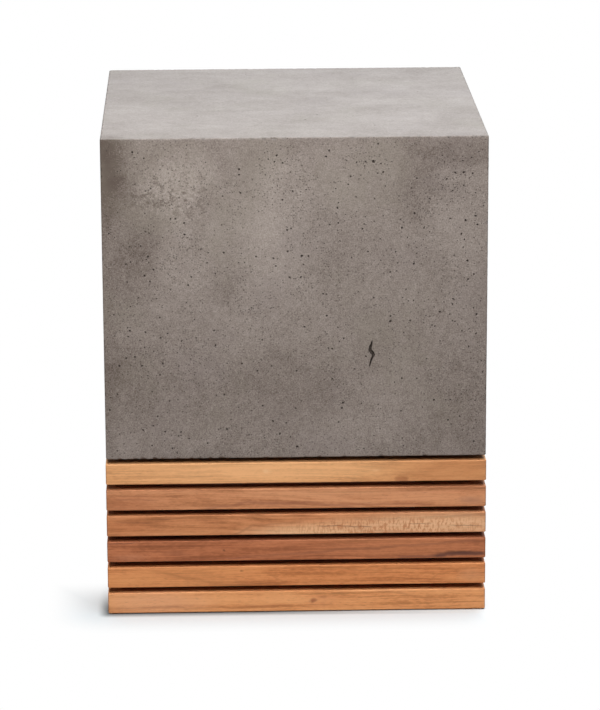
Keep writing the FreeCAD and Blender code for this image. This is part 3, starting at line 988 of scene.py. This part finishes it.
def make_slat(ring, side, material):
    """One slat, drawn on the front side and turned to its own."""
    low, high = (Vector(corner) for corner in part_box(f"slat_front_{ring}"))
    outer = -low.y
    thickness, height = high.y - low.y, high.z - low.z
    rng = random.Random(100 * ring + SIDES.index(side))
    profile = slat_profile(thickness, height, SLAT_ARRIS)
    bow = rng.uniform(-SLAT_BOW_MM, SLAT_BOW_MM) * MM
    lift = rng.uniform(-SLAT_LIFT_MM, SLAT_LIFT_MM) * MM
    mesh = bmesh.new()
    grain = mesh.verts.layers.float_vector.new("grain")
    shift = GRAIN_SHIFT * SIDES.index(side)
    loops = []
    for share in slat_stations():
        loop = []
        for depth, up in profile:
            outermost = max(0.0, 1 - depth / SLAT_CORNER_DEPTH)
            rounding = SLAT_CORNER * (1 - 1 / math.sqrt(2)) * outermost
            end = outer - depth - rounding - MITRE_GAP / 2
            x = share * end
            beyond = max(0.0, abs(x) - (outer - SLAT_CORNER))
            fall = SLAT_CORNER - math.sqrt(max(0.0, SLAT_CORNER ** 2 - beyond ** 2))
            fall *= outermost
            sway = bow * (1 - share * share) + lift * share
            point = Vector((x, -outer + depth + fall, low.z + up + 0.4 * sway))
            point.y += max(0.0, bow * (1 - share * share)) * 0.5
            vertex = mesh.verts.new(point)
            vertex[grain] = Vector((x, up - height / 2, depth)) + shift
            loop.append(vertex)
        loops.append(loop)
    for first, second in zip(loops, loops[1:]):
        for index in range(len(profile)):
            after = (index + 1) % len(profile)
            mesh.faces.new((first[index], first[after], second[after], second[index]))
    mesh.faces.new(loops[0])
    mesh.faces.new(loops[-1][::-1])
    bmesh.ops.recalc_face_normals(mesh, faces=mesh.faces[:])
    mesh.transform(Matrix.Rotation(math.radians(90 * SIDES.index(side)), 4, "Z"))
    piece = add_object(f"teak_slat_{side}_{ring}", mesh)
    shade(piece, SLAT_SHARP_ANGLE, weight=50)
    piece.data.materials.append(material)
    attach(piece, "root")
    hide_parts(f"slat_{side}_{ring}")


def make_slats():
    for ring, spec in enumerate(TEAK_RINGS, 1):
        material = teak(f"teak_ring_{ring}", spec)
        for side in SIDES:
            make_slat(ring, side, material)


# --------------------------------------------------------------------------------- the studio

def make_camera():
    data = bpy.data.cameras.new("camera")
    data.lens = LENS
    data.sensor_width = SENSOR_WIDTH
    data.clip_end = 100.0
    camera = bpy.data.objects.new("camera", data)
    bpy.context.scene.collection.objects.link(camera)
    turn = (Matrix.Rotation(-CAMERA_HEADING, 4, "Z")
            @ Matrix.Rotation(math.radians(90) - CAMERA_PITCH, 4, "X")
            @ Matrix.Rotation(-CAMERA_ROLL, 4, "Z"))
    camera.location = CAMERA_PLACE
    camera.rotation_euler = turn.to_euler()
    bpy.context.scene.camera = camera


def make_floor():
    """Pale floor: real shadow and a painted contact shadow close to the base in front and behind,
    plain white elsewhere.
    """
    mesh = bmesh.new()
    bmesh.ops.create_circle(mesh, cap_ends=True, segments=96, radius=FLOOR_RADIUS)
    floor = add_object("floor", mesh)
    g = Graph("studio_floor")
    place = object_place(g)
    from_middle = g.vector("ABSOLUTE", place)
    beyond = g.vector("SUBTRACT", from_middle, (BASE_HALF, BASE_HALF, 0))
    distance = g.vector("LENGTH", g.vector("MAXIMUM", beyond, (0, 0, 0)))
    split = g.add("ShaderNodeSeparateXYZ", {0: place}).outputs
    across, along = split[0], split[1]
    in_front = g.times(g.ramp(along, -0.08, -0.17), g.ramp(across, 0.185, 0.165))
    behind = g.times(g.ramp(along, 0.17, 0.18),
                     g.ramp(g.math("ABSOLUTE", across), BASE_HALF, 0.15))
    shaded = g.math("MAXIMUM", in_front, behind)
    far = g.math("MAXIMUM", g.ramp(distance, 0.0, SHADOW_REACH), g.math("SUBTRACT", 1.0, shaded))
    far = g.times(far, g.math("GREATER_THAN", distance, 0.0005))
    # Painted shadow: the floor's colour darkens towards the base, and more on the left.
    painted_contact_shadow = g.ramp(distance, 0.0, 0.012, 0.30, 0.85)
    painted_contact_shadow = g.math("MAXIMUM", painted_contact_shadow, g.ramp(across, -0.20, 0.20, 0.0, 0.85))
    floor_with_painted_shadow = g.mix(painted_contact_shadow, (0.0, 0.0, 0.0), (0.90, 0.96, 1.0))
    near_shader = g.add("ShaderNodeBsdfDiffuse", {"Color": floor_with_painted_shadow})
    bounce_shader = g.add("ShaderNodeBsdfDiffuse", {"Color": BOUNCE_COLOUR})
    white_shader = g.add("ShaderNodeEmission", {"Color": (1, 1, 1), "Strength": 1.0})
    looked_at = g.add("ShaderNodeMixShader", {0: far, 1: near_shader.outputs[0],
                                              2: white_shader.outputs[0]})
    seen = g.add("ShaderNodeLightPath").outputs["Is Camera Ray"]
    final = g.add("ShaderNodeMixShader", {0: seen, 1: bounce_shader.outputs[0],
                                          2: looked_at.outputs[0]})
    g.add("ShaderNodeOutputMaterial", {0: final.outputs[0]})
    floor.data.materials.append(g.material)


# Lamps: name, place, what it is aimed at, size, power in watts, colour
LAMPS = [
    ("overhead_softbox", (0.20, 0.0, 2.3), (0, 0, 0.2), (1.9, 1.7), 42.0, (0.85, 0.945, 1.0)),
    ("front_softbox", (-0.15, -1.40, 1.50), (0, 0, 0.42), (1.2, 0.8), 27.5, (1.0, 0.945, 0.895)),
    ("back_softbox", (0.5, 2.1, 1.9), (0, 0, 0.25), (1.6, 1.0), 34.0, (0.95, 0.97, 1.0)),
]


def soft_light(name, place, target, size, power, colour):
    data = bpy.data.lights.new(name, "AREA")
    data.shape = "RECTANGLE"
    data.size, data.size_y = size
    data.energy = power
    data.color = colour
    lamp = bpy.data.objects.new(name, data)
    bpy.context.scene.collection.objects.link(lamp)
    lamp.location = place
    direction = Vector(target) - Vector(place)
    lamp.rotation_euler = direction.to_track_quat("-Z", "Y").to_euler()


def make_light():
    """The lamps, and a world that is white to look at and dim as light."""
    for lamp in LAMPS:
        soft_light(*lamp)
    world = bpy.data.worlds.new("studio")
    bpy.context.scene.world = world
    world.use_nodes = True
    tree = world.node_tree
    background = tree.nodes["Background"]
    background.inputs["Color"].default_value = (1, 1, 1, 1)
    seen = tree.nodes.new("ShaderNodeLightPath")
    level = tree.nodes.new("ShaderNodeMapRange")
    level.inputs["To Min"].default_value = WORLD_GLOW
    level.inputs["To Max"].default_value = 1.0
    tree.links.new(seen.outputs["Is Camera Ray"], level.inputs["Value"])
    tree.links.new(level.outputs[0], background.inputs["Strength"])
    bpy.context.scene.view_settings.view_transform = "Standard"


make_block()
make_slats()
paint_inner_pieces()
make_camera()
make_floor()
make_light()
